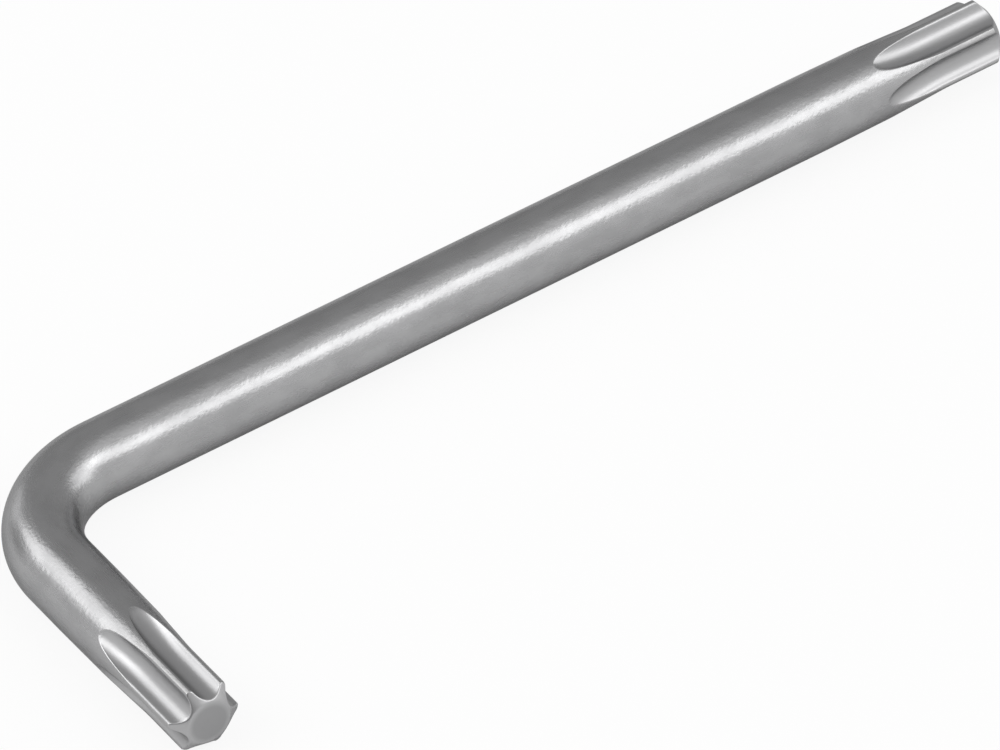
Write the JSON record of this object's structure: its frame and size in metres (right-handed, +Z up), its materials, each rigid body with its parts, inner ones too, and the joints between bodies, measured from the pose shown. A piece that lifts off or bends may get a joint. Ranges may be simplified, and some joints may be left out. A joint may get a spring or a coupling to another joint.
{
  "type": "star key",
  "caption": "L-shaped star key: a round bar bent into a long and a short arm, with a lobed star tip on each end for turning screws that have a star recess.",
  "frame": {"origin": "middle of the key's box in plan, on the surface that the key lies on", "axes": "+X along the long arm towards its tip, -Y along the short arm towards its tip, +Z up, square to the plane of the L"},
  "size_m": [0.1054, 0.0376, 0.007],
  "materials": {
    "satin_steel": "satin"
  },
  "bodies": {
    "root": {"star_key": "satin_steel"}
  },
  "joints": []
}
